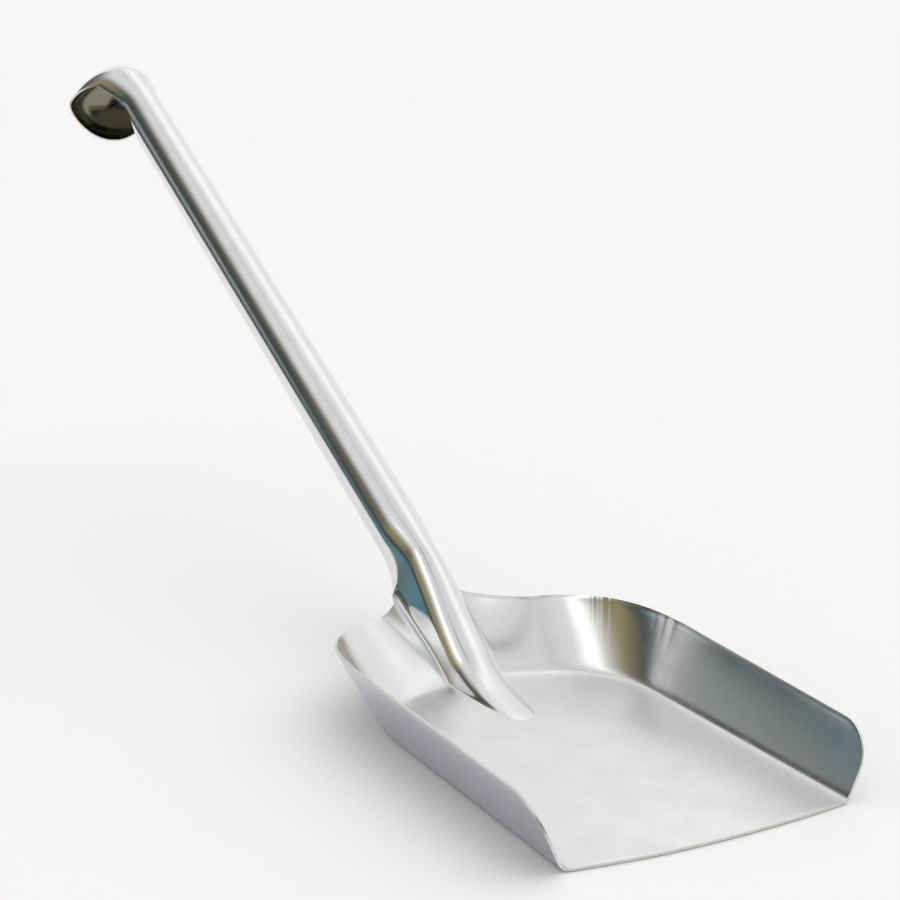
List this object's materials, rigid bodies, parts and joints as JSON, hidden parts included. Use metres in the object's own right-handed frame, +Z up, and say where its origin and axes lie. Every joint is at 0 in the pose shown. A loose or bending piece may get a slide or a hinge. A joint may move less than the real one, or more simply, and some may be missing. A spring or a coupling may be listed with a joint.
{
  "type": "scoop shovel",
  "caption": "Small pressed sheet-steel scoop shovel: shallow open-fronted pan, sloping rolled tube handle let into the rear wall, and a curled hanging hook at its end.",
  "frame": {"origin": "underside of the pan's floor, on the centre line, half way between the lip corners and the rear crease", "axes": "+Z up from the surface it stands on, +Y from the lip towards the handle, +X to the right seen from the lip's end looking along the handle"},
  "size_m": [0.122, 0.5428, 0.2088],
  "materials": {
    "pan_zinc": "satin bright zinc plate on pressed sheet",
    "handle_zinc": "bright zinc plate, glossier than the pan"
  },
  "bodies": {
    "root": {"pan": "pan_zinc", "handle": "handle_zinc"}
  },
  "joints": []
}
